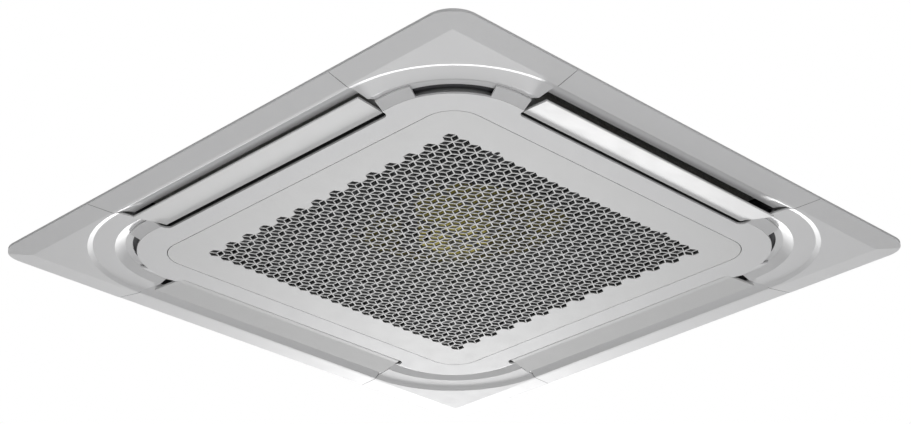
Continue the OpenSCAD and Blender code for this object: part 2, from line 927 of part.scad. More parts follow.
module cabinet_sides() {
    color(steel)
    difference() {
        union() {
            translate([0, 0, body_z])
                linear_extrude(body_h - sheet_t)
                    difference() {
                        cut_square(body_half, body_cut);
                        cut_square(body_half - sheet_t, body_cut);
                    }
            translate([0, 0, body_z])
                linear_extrude(sheet_t)
                    difference() {
                        cut_square(body_half - sheet_t / 2, body_cut);
                        cut_square(body_half - body_flange, flange_cut);
                    }
            for (share = swage_at_shares) translate([0, 0, body_z + share * body_h - swage_h / 2])
                linear_extrude(swage_h)
                    difference() {
                        cut_square(body_half + sheet_t, body_cut);
                        cut_square(body_half - sheet_t / 2, body_cut);
                    }
            at_side(3) translate([body_half - sheet_t / 2, 0, body_z + body_h / 2]) rotate([0, 90, 0])
                difference() {
                    cylinder(r = knockout_r + sheet_t, h = knock_t);
                    translate([0, 0, -over]) cylinder(r = knockout_r - sheet_t, h = 2 * sheet_t + 2 * over);
                }
        }
        pipe_holes(hole_gap);
        at_side(3) for (s = [-1, 1]) translate([body_half, s * cable_y, gas_z]) rotate([0, 90, 0])
            cylinder(r = cable_hole_r, h = 4 * body_flange, center = true);
        on_all_sides() {
            panel_screw_at() cylinder(r = screw_r + fit, h = body_top_z);
            rotate(45) translate([0, -corner_joint / 2, body_z - over])
                cube([body_w, corner_joint, body_h + 2 * over]);
        }
    }
}

// Plates with the cable entries, over larger holes in the cabinet
module cable_plates() {
    color(steel)
    at_side(3) for (s = [-1, 1]) translate([body_half, s * cable_y, gas_z]) rotate([0, 90, 0])
        linear_extrude(sheet_t)
            difference() {
                square(cable_plate_w, center = true);
                circle(cable_r);
            }
}

emboss_r = 150;
emboss_w = 10;

module cabinet_top() {
    color(steel)
    translate([0, 0, body_top_z - sheet_t]) {
        difference() {
            union() {
                linear_extrude(sheet_t) cut_square(body_half, body_cut);
                difference() {
                    cylinder(r = emboss_r + emboss_w, h = 2 * sheet_t);
                    translate([0, 0, -over]) cylinder(r = emboss_r, h = 2 * sheet_t + 2 * over);
                }
                on_all_sides() translate([emboss_r + 2 * emboss_w, -emboss_w / 2, 0])
                    cube([body_half - emboss_r - 5 * emboss_w, emboss_w, 2 * sheet_t]);
            }
            for (n = [0 : 2]) rotate(120 * n) translate([mount_circle_r, 0, -over])
                cylinder(r = bolt_r + fit, h = 2 * sheet_t + 2 * over);
        }
    }
}

// Foam liner and drain pan

pan_top_z = body_z + pan_h;
pan_lap = 31;
well_gap = 22;
gutter_w = 30;
gutter_h = 16;
pan_hole_r = throat_r + pan_lap;
motor_well_r = mount_circle_r + well_gap;

module foam_liner() {
    half = body_half - sheet_t - fit;
    slab_z = pan_top_z + coil_h + 2 * fit;
    top_z = body_top_z - sheet_t - fit;
    color(foam_white)
    difference() {
        translate([0, 0, pan_top_z + fit])
            linear_extrude(top_z - pan_top_z - fit) cut_square(half, body_cut);
        translate([0, 0, pan_top_z])
            linear_extrude(slab_z - pan_top_z) cut_square(half - liner_t, body_cut);
        translate([0, 0, pan_top_z]) cylinder(r = motor_well_r, h = body_h);
        pipe_holes(hole_gap);
        translate([pump_at, pump_at, pan_top_z]) cylinder(r = stud_r + fit, h = body_h);
        translate([float_x, float_y, pan_top_z]) cylinder(r = stem_r + fit, h = body_h);
    }
}

module drain_pan() {
    half = body_half - sheet_t - fit;
    middle = coil_in + coil_t / 2;
    color(foam_white)
    difference() {
        union() {
            translate([0, 0, pan_floor_z + fit])
                linear_extrude(pan_top_z - pan_floor_z - fit) cut_square(half, body_cut);
            translate([0, 0, body_z])
                linear_extrude(pan_h / 2)
                    cut_square(body_half - body_flange - over, flange_cut + over);
        }
        translate([0, 0, body_z - over]) cylinder(r = pan_hole_r, h = pan_h + 2 * over);
        translate([0, 0, pan_top_z - gutter_h])
            linear_extrude(gutter_h + over)
                difference() {
                    rounded_square(middle + gutter_w / 2, coil_r + (coil_t + gutter_w) / 2);
                    rounded_square(middle - gutter_w / 2, coil_r + (coil_t - gutter_w) / 2);
                }
        translate([pump_at, pump_at, pan_top_z - gutter_h]) cylinder(r = sump_r, h = gutter_h + over);
        translate([float_x, float_y, pan_top_z - gutter_h])
            cylinder(r = float_r + 2 * wall, h = gutter_h + over);
        rotate(45) translate([middle, -gutter_w / 2, pan_top_z - gutter_h])
            cube([pump_at * sqrt(2) - middle, gutter_w, gutter_h + over]);
        on_all_sides() {
            translate([duct_in, -duct_half, body_z - over]) cube([duct_w, 2 * duct_half, pan_h + 2 * over]);
            panel_screw_at() translate([0, 0, body_z - over])
                cylinder(r = screw_head_r, h = screw_end + 3 * over);
            bell_screw_at() translate([0, 0, body_z - over])
                cylinder(r = screw_r + fit, h = screw_end + over);
        }
    }
}

// Hanger brackets, drawn at the corner between sides 1 and 2

hanger_up = 140;
hanger_out = 38;
hanger_half = 50;
hanger_drop = 42;
hanger_z = body_z + hanger_up;

module hanger_bracket() {
    color(steel)
    difference() {
        rotate(45) translate([corner_out, 0, hanger_z]) {
            translate([0, -hanger_half, -hanger_t]) cube([hanger_out, 2 * hanger_half, hanger_t]);
            translate([0, -hanger_half, -hanger_drop]) cube([hanger_t, 2 * hanger_half, hanger_drop]);
            for (s = [-1, 1]) translate([0, s * (hanger_half - hanger_t / 2), 0])
                run_along(hanger_t)
                    polygon([
                        [0, 0], [hanger_out, 0], [hanger_out, -2 * hanger_t],
                        [2 * hanger_t, -hanger_drop], [0, -hanger_drop]
                    ]);
        }
        translate([hanger_x / 2, hanger_y / 2, hanger_z - 2 * hanger_t]) {
            end = hanger_slot_l / 2 - hanger_slot_r;
            for (s = [-1, 1]) translate([s * end, 0, 0]) cylinder(r = hanger_slot_r, h = 3 * hanger_t);
            translate([-end, -hanger_slot_r, 0]) cube([2 * end, 2 * hanger_slot_r, 3 * hanger_t]);
        }
    }
}

// Bell mouth

bell_rise = 20;
bell_top_z = body_z + pan_h;
bell_steps = 8;
bell_corner_r = 30;
bell_screw_in = 14;

function bell_curve(a, grow) = [
    throat_r + grow + bell_flare * (1 - sin(a)),
    lip_z + grow + bell_rise * (1 - cos(a))
];

module bell_screw_at() {
    at = bell_half - bell_screw_in;
    translate([at, at, 0]) children();
}

module bell_mouth() {
    color(dark_steel)
    difference() {
        union() {
            rotate_extrude()
                polygon(concat(
                    [for (i = [0 : bell_steps]) bell_curve(90 * i / bell_steps, 0)],
                    [[throat_r, bell_top_z], [throat_r + bell_t, bell_top_z]],
                    [for (i = [bell_steps : -1 : 0]) bell_curve(90 * i / bell_steps, bell_t)]
                ));
            translate([0, 0, body_z - bell_t])
                linear_extrude(bell_t)
                    difference() {
                        rounded_square(bell_half, bell_corner_r);
                        circle(throat_r + bell_t + fit / 2);
                    }
        }
        on_all_sides() bell_screw_at() cylinder(r = screw_r + fit, h = body_z + over);
    }
}

module bell_screws() {
    color(steel)
    on_all_sides() bell_screw_at() {
        translate([0, 0, body_z - bell_t - screw_head_h]) cylinder(r = screw_head_r, h = screw_head_h);
        translate([0, 0, body_z - bell_t - over]) cylinder(r = screw_r, h = screw_end);
    }
}

// The turbo fan: back plate with its hub, blades, and shroud ring

shroud_in_r = throat_r + bell_t + fan_t;
shroud_z = bell_top_z + fan_t;
shroud_rise = 30;
shroud_collar = 12;
curve_steps = 12;
blade_steps = 8;
blade_sweep = 38;
blade_tail_share = 0.96;
hub_r = 12;
hub_h = 34;
ring_r = 17;
ring_t = 1.8;
arc_in_r = 38;
arc_out_r = 45;
arc_angle = 48;

function dome_curve(a, shrink) = [
    nose_r - shrink + (dome_r - nose_r) * (1 - cos(a)),
    nose_z + shrink + (fan_back_z - nose_z) * sin(a)
];

function shroud_curve(a, inset) = [
    shroud_in_r + (fan_r - shroud_in_r) * (1 - cos(a)) + inset * cos(a),
    shroud_z + (shroud_rise - inset) * sin(a)
];

module dome_outline() {
    polygon(concat(
        [[0, nose_z]],
        [for (i = [0 : curve_steps]) dome_curve(90 * i / curve_steps, 0)],
        [[fan_r, fan_back_z], [fan_r, fan_back_z + fan_t]],
        [for (i = [curve_steps : -1 : 0]) dome_curve(90 * i / curve_steps, fan_t)],
        [[0, nose_z + fan_t]]
    ));
}

module shroud_outline() {
    polygon(concat(
        [[shroud_in_r, shroud_z - shroud_collar]],
        [for (i = [0 : curve_steps]) shroud_curve(90 * i / curve_steps, 0)],
        [for (i = [curve_steps : -1 : 0]) shroud_curve(90 * i / curve_steps, fan_t)],
        [[shroud_in_r + fan_t, shroud_z - shroud_collar]]
    ));
}

function blade_point(k, side) =
    let (r = blade_in_r + (fan_r - over - blade_in_r) * k / blade_tail_share)
    let (half = side * 2 * blade_t * (sqrt(k) - k))
    let (a = half / r * 180 / PI - blade_sweep * k)
    [r * cos(a), r * sin(a)];

module blade_plan() {
    k = blade_tail_share / blade_steps;
    polygon(concat(
        [for (i = [0 : blade_steps]) blade_point(i * k, 1)],
        [for (i = [blade_steps : -1 : 1]) blade_point(i * k, -1)]
    ));
}

// The space between shroud and back plate that the blades fill
module blade_space() {
    outer = fan_r + over;
    polygon(concat(
        [[blade_in_r - blade_t, shroud_z]],
        [for (i = [0 : curve_steps]) shroud_curve(90 * i / curve_steps, 0)],
        [[outer, shroud_z + shroud_rise], [outer, fan_back_z]],
        [for (i = [curve_steps : -1 : curve_steps / 2]) dome_curve(90 * i / curve_steps, 0)]
    ));
}

module fan() {
    color(olive)
    difference() {
        union() {
            rotate_extrude() dome_outline();
            translate([0, 0, nose_z]) cylinder(r = hub_r, h = hub_h);
            translate([0, 0, nose_z - ring_t])
                difference() {
                    cylinder(r = ring_r, h = ring_t + over);
                    translate([0, 0, -over]) cylinder(r = ring_r - ring_t, h = ring_t + 3 * over);
                }
        }
        translate([0, 0, nose_z - over]) cylinder(r = shaft_r, h = hub_h + 2 * over);
        for (n = [0 : 2]) rotate(30 + 120 * n - arc_angle / 2)
            rotate_extrude(angle = arc_angle)
                translate([arc_in_r, nose_z - over]) square([arc_out_r - arc_in_r, fan_t + 2 * over]);
    }
}

module fan_blades() {
    color(olive)
    intersection() {
        rotate_extrude() blade_space();
        translate([0, 0, shroud_z - over])
            linear_extrude(fan_back_z - shroud_z + fan_t)
                for (n = [1 : blade_count]) rotate(360 * n / blade_count) blade_plan();
    }
}

module fan_shroud() {
    color(olive)
    rotate_extrude() shroud_outline();
}

// Motor and shaft

motor_up = 104;
motor_z = nose_z + motor_up;
neck_r = 30;
bearing_r = 14;
bearing_h = 8;
spider_below = 32;
spider_z = body_top_z - spider_below;
spider_t = 3;
spider_w = 26;
bush_r = 9;
bolt_r = 3;
nut_r = 8;
nut_h = 5.5;
shaft_end = 2;
shaft_top_z = motor_z + motor_h / 2;

module fan_shaft() {
    color(steel)
    translate([0, 0, nose_z - nut_h - shaft_end])
        cylinder(r = shaft_r, h = shaft_top_z - nose_z + nut_h + shaft_end);
}

module hub_nut() {
    color(steel)
    translate([0, 0, nose_z - nut_h])
        difference() {
            cylinder(r = nut_r, h = nut_h, $fn = 6);
            translate([0, 0, -over]) cylinder(r = shaft_r, h = nut_h + 2 * over);
        }
}

module fan_motor() {
    color(dark_steel)
    difference() {
        union() {
            translate([0, 0, motor_z]) cylinder(r = motor_r, h = motor_h);
            translate([0, 0, motor_z + motor_h / 2 - sheet_t])
                cylinder(r = motor_r + 2 * sheet_t, h = 2 * sheet_t);
            translate([0, 0, motor_z - bearing_h]) cylinder(r = bearing_r, h = bearing_h + over);
            translate([0, 0, motor_z + motor_h - over])
                cylinder(r = neck_r, h = spider_z - motor_z - motor_h + over);
        }
        translate([0, 0, motor_z - bearing_h - over])
            cylinder(r = shaft_r + running, h = bearing_h + motor_h / 2 + 3 * over);
    }
}

module motor_bracket() {
    color(steel)
    translate([0, 0, spider_z])
        difference() {
            linear_extrude(spider_t) {
                circle(neck_r + spider_w / 2);
                for (n = [0 : 2]) rotate(120 * n) {
                    translate([0, -spider_w / 2]) square([mount_circle_r, spider_w]);
                    translate([mount_circle_r, 0]) circle(spider_w / 2);
                }
            }
            for (n = [0 : 2]) rotate(120 * n) translate([mount_circle_r, 0, -over])
                cylinder(r = bolt_r + fit, h = spider_t + 2 * over);
        }
}

module motor_mounts() {
    low = spider_z + spider_t;
    color(rubber_black)
    for (n = [0 : 2]) rotate(120 * n) translate([mount_circle_r, 0, low])
        difference() {
            cylinder(r = bush_r, h = body_top_z - sheet_t - low);
            translate([0, 0, -over]) cylinder(r = bolt_r + fit, h = body_h);
        }
}

module motor_bolts() {
    head_r = 5.5;
    head_h = 3.5;
    color(steel)
    for (n = [0 : 2]) rotate(120 * n) translate([mount_circle_r, 0, 0]) {
        translate([0, 0, spider_z - head_h]) cylinder(r = head_r, h = head_h, $fn = 6);
        translate([0, 0, spider_z - over]) cylinder(r = bolt_r, h = body_top_z - spider_z + 2 * over);
        translate([0, 0, body_top_z]) cylinder(r = head_r, h = head_h, $fn = 6);
    }
}

// Heat exchanger with its open corner between sides 4 and 1

coil_open_in = 49;
coil_open = coil_in - coil_open_in;
tube_r = 3.5;
feeder_r = 2.4;
tube_pitch = 21;
plate_over = 2;
header_r = 9;
pipe_out = 45;
pipe_end = body_half + pipe_out;
union_hex_l = 12;
union_l = 28;
gas_union_r = 11.1;
liquid_union_r = 7.94;

module coil_plan() {
    difference() {
        rounded_square(coil_in + coil_t, coil_r + coil_t);
        rounded_square(coil_in, coil_r);
        translate([coil_open, -coil_in - 2 * coil_t]) square(2 * coil_t + coil_in - coil_open);
    }
}

module coil_fins() {
    color(fins_grey)
    translate([0, 0, pan_top_z]) linear_extrude(coil_h) coil_plan();
}

// Places its children at the coil's two ends, drawn at the end on side 1
module at_coil_ends() {
    translate([coil_in + coil_t / 2, -coil_open, pan_top_z]) children();
    mirror([1, 1, 0]) translate([coil_in + coil_t / 2, -coil_open, pan_top_z]) children();
}

module coil_end_plates() {
    color(steel)
    at_coil_ends()
        translate([-coil_t / 2 - plate_over, -sheet_t, 0])
            cube([coil_t + 2 * plate_over, sheet_t, coil_h]);
}

module coil_bends() {
    count = floor(coil_h / tube_pitch) - 1;
    reach = coil_t / 4;
    color(copper)
    at_coil_ends()
        for (i = [1 : count]) translate([0, -sheet_t, i * tube_pitch + tube_pitch / 2])
            rotate([0, 0, 180]) rotate_extrude(angle = 180) translate([reach, 0]) circle(tube_r);
}

// A pipe along X from its header, which stands beside a coil end
module refrigerant_pipe(from, at, r, z) {
    difference() {
        union() {
            translate([from, at, z]) rotate([0, 90, 0])
                cylinder(r = r, h = pipe_end - union_l / 2 - from);
            translate([from, at, pan_top_z + tube_pitch / 2])
                cylinder(r = header_r, h = coil_h - tube_pitch);
        }
        translate([from + 2 * header_r, at, z]) rotate([0, 90, 0]) cylinder(r = r - sheet_t, h = pipe_end);
    }
}

// Feeder tubes from a header to its coil end, drawn along +Y
module feeders(y) {
    count = floor(coil_h / tube_pitch);
    for (i = [1 : count]) translate([coil_in + coil_t / 2, y, pan_top_z + i * tube_pitch])
        rotate([-90, 0, 0]) cylinder(r = feeder_r, h = -coil_open - sheet_t - y);
}

module gas_pipe() {
    color(copper) {
        refrigerant_pipe(coil_in + coil_t / 2, gas_y, gas_r, gas_z);
        feeders(gas_y);
    }
}

module liquid_pipe() {
    color(copper) {
        refrigerant_pipe(pipe_in, liquid_y, liquid_r, liquid_z);
        mirror([1, 1, 0]) feeders(-pipe_in);
    }
}

module flare_union(at, z, r, end_r) {
    translate([pipe_end - union_l, at, z]) rotate([0, 90, 0])
        difference() {
            union() {
                cylinder(r = end_r + wall, h = union_hex_l, $fn = 6);
                cylinder(r = end_r, h = union_l);
            }
            translate([0, 0, -over]) cylinder(r = r, h = union_l / 2 + over);
            cylinder(r = r - sheet_t, h = union_l + over);
        }
}

module flare_unions() {
    color(brass) {
        flare_union(gas_y, gas_z, gas_r, gas_union_r);
        flare_union(liquid_y, liquid_z, liquid_r, liquid_union_r);
    }
}

// Condensate pump and float switch in the corner between sides 1 and 2

pump_in = 108;
pump_at = body_half - pump_in;
spout_angle = 20;
pump_r = 27;
sump_r = 34;
pump_below = 46;
pump_top_z = body_top_z - pump_below;
stud_r = 8;
pump_motor_h = 50;
chamber_h = 24;
chamber_r = 20;
impeller_r = 14;
impeller_h = 9;
pump_gap = 3;
stem_r = 3.5;
spindle_r = 1.5;
float_r = 11;
float_h = 14;
float_travel = 10;
float_in_x = 134;
float_in_y = 82;
float_x = body_half - float_in_x;
float_y = body_half - float_in_y;
chamber_z = pan_top_z - gutter_h + pump_gap;

pump_low_z = pump_top_z - pump_motor_h;
roof_z = body_top_z - sheet_t;

module drain_pump() {
    neck_low = chamber_z + chamber_h - over;
    color(plastic_grey)
    translate([pump_at, pump_at, 0])
        difference() {
            union() {
                translate([0, 0, pump_top_z - over]) cylinder(r = stud_r, h = roof_z - pump_top_z + over);
                translate([0, 0, pump_low_z]) cylinder(r = pump_r, h = pump_motor_h);
                translate([0, 0, neck_low]) cylinder(r = 2 * stem_r, h = pump_low_z + over - neck_low);
                translate([0, 0, chamber_z]) cylinder(r = chamber_r, h = chamber_h);
                translate([0, 0, pump_low_z - 2 * stem_r]) rotate([0, 90, -spout_angle])
                    cylinder(r = stem_r, h = pump_r);
            }
            translate([0, 0, chamber_z - over])
                cylinder(r = impeller_r + pump_gap, h = impeller_h + 2 * pump_gap + over);
            translate([0, 0, chamber_z])
                cylinder(r = spindle_r + running, h = pump_top_z - chamber_z - stud_r);
        }
}

module pump_impeller() {
    color(foam_white)
    translate([pump_at, pump_at, chamber_z + pump_gap]) {
        cylinder(r = 2 * spindle_r + wall / 2, h = impeller_h);
        cylinder(r = impeller_r, h = wall);
        for (n = [0 : 3]) rotate(90 * n) translate([0, -wall / 2, 0])
            cube([impeller_r - fit, wall, impeller_h]);
        cylinder(r = spindle_r, h = pump_low_z - chamber_z);
    }
}

module drain_outlet() {
    bore = drain_r - 2 * wall;
    low = pump_at + pump_r + 2 * wall;
    color(plastic_grey)
    translate([0, drain_y, drain_z])
        difference() {
            union() {
                translate([low, 0, 0]) rotate([0, 90, 0]) cylinder(r = drain_r, h = pipe_end - low);
                translate([body_half, 0, 0]) rotate([0, 90, 0])
                    cylinder(r = drain_r + 2 * hole_gap, h = 2 * wall);
            }
            translate([low + 2 * wall, 0, 0]) rotate([0, 90, 0]) cylinder(r = bore, h = pipe_end);
        }
}

float_low_z = chamber_z + wall;
float_top_z = float_low_z + float_h + float_travel;

module float_switch() {
    color(plastic_grey)
    translate([float_x, float_y, 0]) {
        translate([0, 0, chamber_z]) cylinder(r = stem_r, h = roof_z - chamber_z);
        translate([0, 0, chamber_z - over]) cylinder(r = float_r - wall, h = wall);
        translate([0, 0, float_top_z]) cylinder(r = float_r - wall, h = wall);
    }
}

module float() {
    color(foam_white)
    translate([float_x, float_y, float_low_z])
        difference() {
            cylinder(r = float_r, h = float_h);
            translate([0, 0, -over]) cylinder(r = stem_r + running, h = float_h + 2 * over);
        }
}

// Control box beside the bell mouth on side 3, with its cover below it

box_edge = 6;
box_out = bell_half - box_edge;
box_gap = 8;
box_end_in = 106;
box_half = bell_half - box_end_in;
box_low_z = lip_z + wall;
cover_lap = 22;
cover_edge = throat_r - cover_lap;
cover_low_z = lip_z - 2 * wall;
board_z = body_z - bell_t - 4 * wall;
board_t = 1.6;

box_in = throat_r + bell_flare + bell_t + box_gap;

module control_box() {
    high = body_z - bell_t;
    color(steel)
    difference() {
        translate([-box_out, -box_half, box_low_z])
            cube([box_out - box_in, 2 * box_half, high - box_low_z]);
        translate([sheet_t - box_out, sheet_t - box_half, box_low_z - over])
            cube([
                box_out - box_in - 2 * sheet_t, 2 * (box_half - sheet_t), high - box_low_z + over - sheet_t
            ]);
    }
}

relay_w = 12;
relay_h = 8;
post_shares = [0.1, 0.9];
relay_shares = [-0.78, -0.52, -0.26, 0, 0.26, 0.52, 0.78];
can_shares = [-0.64, -0.32, 0.32, 0.64];

module control_board() {
    x = sheet_t + wall - box_out;
    w = box_out - box_in - 2 * (sheet_t + wall);
    half = box_half - sheet_t - wall;
    color(board_green) {
        translate([x, -half, board_z]) cube([w, 2 * half, board_t]);
        for (share = relay_shares) translate([x + w / 4, share * half, board_z - relay_h])
            cube([relay_w, 2 * relay_w, relay_h + over / 2]);
        for (share = can_shares) translate([x + 3 * w / 4, share * half, board_z - relay_h])
            cylinder(r = relay_w / 2, h = relay_h + over / 2);
        for (s = [-1, 1], share = post_shares) translate([x + share * w, s * (half - relay_w), board_z])
            cylinder(r = wall, h = body_z - bell_t - sheet_t - board_z);
    }
}

module control_cover() {
    color(dark_steel) {
        translate([-box_out, -box_half, cover_low_z])
            cube([box_out - cover_edge, 2 * box_half, sheet_t]);
        translate([-box_out, -box_half, cover_low_z])
            linear_extrude(box_low_z - cover_low_z)
                difference() {
                    square([box_out - box_in, 2 * box_half]);
                    translate([sheet_t, sheet_t])
                        square([box_out - box_in - 2 * sheet_t, 2 * (box_half - sheet_t)]);
                }
    }
}

sensor_in_x = 81;
sensor_in_y = 87;
sensor_x = bell_half - sensor_in_x;
sensor_y = sensor_in_y - bell_half;
sensor_r = 3.5;

module room_sensor() {
    color(rubber_black)
    translate([sensor_x, sensor_y, lip_z + sensor_r]) {
        sphere(sensor_r);
        cylinder(r = sensor_r, h = 2 * sensor_r);
        cylinder(r = sensor_r / 2, h = body_z - bell_t - lip_z - sensor_r);
    }
}

panel_frame();
grille_box();
outlet_ducts();
corner_bases();
side_strips();
at_side(1) corner_cover();  // corner_cover_1
at_side(2) corner_cover();  // corner_cover_2
at_side(3) corner_cover();  // corner_cover_3
at_side(4) corner_cover();  // corner_cover_4
at_side(1) flap(0);  // flap_1
at_side(2) flap(0);  // flap_2
at_side(3) flap(0);  // flap_3
at_side(4) flap(flap_open);  // flap_4
at_side(1) flap_motor();  // flap_motor_1
at_side(2) flap_motor();  // flap_motor_2
at_side(3) flap_motor();  // flap_motor_3
at_side(4) flap_motor();  // flap_motor_4
grille();
grille_frame();
filter_frame();
filter_net();
latch(latch_x);  // latch_1
latch(-latch_x);  // latch_2
panel_seal();
panel_screws();
cabinet_sides();
cabinet_top();
cable_plates();
foam_liner();
drain_pan();
hanger_bracket();  // hanger_bracket_1
mirror([1, 0, 0]) hanger_bracket();  // hanger_bracket_2
rotate(180) hanger_bracket();  // hanger_bracket_3
mirror([0, 1, 0]) hanger_bracket();  // hanger_bracket_4
bell_mouth();
bell_screws();
fan();
fan_blades();
fan_shroud();
fan_shaft();
hub_nut();
fan_motor();
motor_bracket();
motor_mounts();
motor_bolts();
coil_fins();
coil_end_plates();
coil_bends();
gas_pipe();
liquid_pipe();
flare_unions();
drain_pump();
pump_impeller();
drain_outlet();
float_switch();
float();
control_box();
control_board();
control_cover();
room_sensor();
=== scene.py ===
import math

import bpy
from mathutils import Matrix, Vector


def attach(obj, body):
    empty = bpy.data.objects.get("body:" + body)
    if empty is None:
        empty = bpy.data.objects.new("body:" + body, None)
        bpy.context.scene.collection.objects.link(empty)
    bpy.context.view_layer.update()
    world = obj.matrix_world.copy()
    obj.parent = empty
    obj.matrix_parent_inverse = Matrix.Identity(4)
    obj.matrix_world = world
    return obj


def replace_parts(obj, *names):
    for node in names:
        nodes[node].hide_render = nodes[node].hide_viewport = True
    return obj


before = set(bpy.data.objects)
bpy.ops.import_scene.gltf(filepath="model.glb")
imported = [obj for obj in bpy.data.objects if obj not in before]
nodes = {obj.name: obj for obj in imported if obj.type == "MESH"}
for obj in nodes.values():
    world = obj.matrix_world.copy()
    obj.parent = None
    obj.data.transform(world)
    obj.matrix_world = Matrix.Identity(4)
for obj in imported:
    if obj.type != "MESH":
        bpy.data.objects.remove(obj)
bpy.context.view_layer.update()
scene = bpy.context.scene
MM = 0.001


# Nodes of the materials


def new_material(name):
    m = bpy.data.materials.new(name)
    m.use_nodes = True
    nt = m.node_tree
    nt.nodes.clear()
    out = nt.nodes.new("ShaderNodeOutputMaterial")
    shader = nt.nodes.new("ShaderNodeBsdfPrincipled")
    nt.links.new(shader.outputs[0], out.inputs[0])
    return m, nt, shader


def coords(nt):
    return nt.nodes.new("ShaderNodeTexCoord").outputs["Object"]


def axes(nt, vec):
    """The X, Y and Z sockets of vec."""
    n = nt.nodes.new("ShaderNodeSeparateXYZ")
    nt.links.new(vec, n.inputs[0])
    return n.outputs


def noise(nt, vec, scale, detail=3.0):
    n = nt.nodes.new("ShaderNodeTexNoise")
    n.inputs["Scale"].default_value = scale
    n.inputs["Detail"].default_value = detail
    nt.links.new(vec, n.inputs["Vector"])
    return n.outputs[0]


def voronoi(nt, vec, scale, output="Distance"):
    n = nt.nodes.new("ShaderNodeTexVoronoi")
    n.inputs["Scale"].default_value = scale
    nt.links.new(vec, n.inputs["Vector"])
    return n.outputs[output]


def calc(nt, operation, *values):
    """One sum, of sockets and numbers."""
    n = nt.nodes.new("ShaderNodeMath")
    n.operation = operation
    for socket, value in zip(n.inputs, values):
        if isinstance(value, (int, float)):
            socket.default_value = value
        else:
            nt.links.new(value, socket)
    return n.outputs[0]


def waves(nt, value, pitch):
    """A sine along value, one turn for each pitch."""
    return calc(nt, "SINE", calc(nt, "MULTIPLY", value, 2 * math.pi / pitch))


def spread(nt, value, lo, hi, from_lo=0.3, from_hi=0.7, smooth=False):
    """value between from_lo and from_hi, spread from lo to hi."""
    n = nt.nodes.new("ShaderNodeMapRange")
    if smooth:
        n.interpolation_type = "SMOOTHSTEP"
    n.inputs["From Min"].default_value = from_lo
    n.inputs["From Max"].default_value = from_hi
    n.inputs["To Min"].default_value = lo
    n.inputs["To Max"].default_value = hi
    nt.links.new(value, n.inputs["Value"])
    return n.outputs[0]


def mix(nt, fac, a, b):
    """Between two colours, each a socket or three numbers."""
    n = nt.nodes.new("ShaderNodeMix")
    n.data_type = "RGBA"
    nt.links.new(fac, n.inputs[0])
    for sock, v in ((n.inputs[6], a), (n.inputs[7], b)):
        if isinstance(v, (tuple, list)):
            sock.default_value = (*v, 1.0)
        else:
            nt.links.new(v, sock)
    return n.outputs[2]


def bump(nt, shader, height, strength, distance):
    n = nt.nodes.new("ShaderNodeBump")
    n.inputs["Strength"].default_value = strength
    n.inputs["Distance"].default_value = distance
    nt.links.new(height, n.inputs["Height"])
    nt.links.new(n.outputs[0], shader.inputs["Normal"])


def shade(rgb, k):
    return tuple(min(1.0, c * k) for c in rgb)


def lin(r, g, b):
    """Linear values of a colour as a screen shows it."""
    return tuple(c / 12.92 if c <= 0.04045 else ((c + 0.055) / 1.055) ** 2.4 for c in (r, g, b))


# Kinds of material, all procedural, with noise scales per metre

MOTTLE, MOTTLE_DETAIL = 9.0, 4.0
GLOSS_SCALE, GLOSS_VARY = 40.0, 0.02
GRAIN, GRAIN_DETAIL, GRAIN_STRENGTH = 900.0, 2.0, 0.25
# Heights over which the panel plastic darkens, a painted shade in the deep end of the trough and in
# the hollows above it
TROUGH_SHADE_BAND = (0.5 * MM, 6 * MM)


def plastic(name, rgb, rough=0.5, vary=0.03, grain=GRAIN, depth=0.04 * MM, gloss=0.08,
            painted_shade=None, band=TROUGH_SHADE_BAND, until=None):
    """A moulding, with painted shade that darkens it over the heights of band and fades it back
    over those of until.
    """
    m, nt, sh = new_material(name)
    vec = coords(nt)
    mottle = noise(nt, vec, MOTTLE, MOTTLE_DETAIL)
    col = mix(nt, mottle, shade(rgb, 1 - vary), shade(rgb, 1 + vary))
    # Painted shade: darker by height, for the shade that falls in recesses.
    if painted_shade is not None:
        z = axes(nt, vec)[2]
        fac = spread(nt, z, 0.0, 1.0, *band, smooth=True)
        if until is not None:
            fac = calc(nt, "MULTIPLY", fac, spread(nt, z, 1.0, 0.0, *until))
        col = mix(nt, fac, col, painted_shade)
    nt.links.new(col, sh.inputs["Base Color"])
    gloss_noise = noise(nt, vec, GLOSS_SCALE)
    nt.links.new(spread(nt, gloss_noise, rough - GLOSS_VARY, rough + GLOSS_VARY),
                 sh.inputs["Roughness"])
    sh.inputs["Specular IOR Level"].default_value = gloss
    bump(nt, sh, noise(nt, vec, grain, GRAIN_DETAIL), GRAIN_STRENGTH, depth)
    return m


METAL_SCALE, METAL_DETAIL = 60.0, 5.0
DULLER, SHINIER = 0.08, 0.06
PITS, BRUSHED, BRUSH_STRETCH = 500.0, 120.0, 30.0
PIT_STRENGTH, PIT_DEPTH = 0.2, 0.05 * MM


def metal(name, rgb, rough, spangle=None, brushed=False, vary=0.06):
    """Bare metal, with crystals of the size spangle, or brushed along X."""
    m, nt, sh = new_material(name)
    sh.inputs["Metallic"].default_value = 1.0
    vec = coords(nt)
    if spangle:
        bw = nt.nodes.new("ShaderNodeRGBToBW")
        nt.links.new(voronoi(nt, vec, 1.0 / spangle, "Color"), bw.inputs[0])
        fac = bw.outputs[0]
    else:
        fac = noise(nt, vec, METAL_SCALE, METAL_DETAIL)
    nt.links.new(mix(nt, fac, shade(rgb, 1 - vary), shade(rgb, 1 + vary)), sh.inputs["Base Color"])
    nt.links.new(spread(nt, fac, rough - SHINIER, rough + DULLER, 0.0, 1.0), sh.inputs["Roughness"])
    if brushed:
        mp = nt.nodes.new("ShaderNodeMapping")
        mp.inputs["Scale"].default_value = (1.0, BRUSH_STRETCH, BRUSH_STRETCH)
        nt.links.new(vec, mp.inputs[0])
        height = noise(nt, mp.outputs[0], BRUSHED)
    else:
        height = noise(nt, vec, PITS)
    bump(nt, sh, height, PIT_STRENGTH, PIT_DEPTH)
    return m
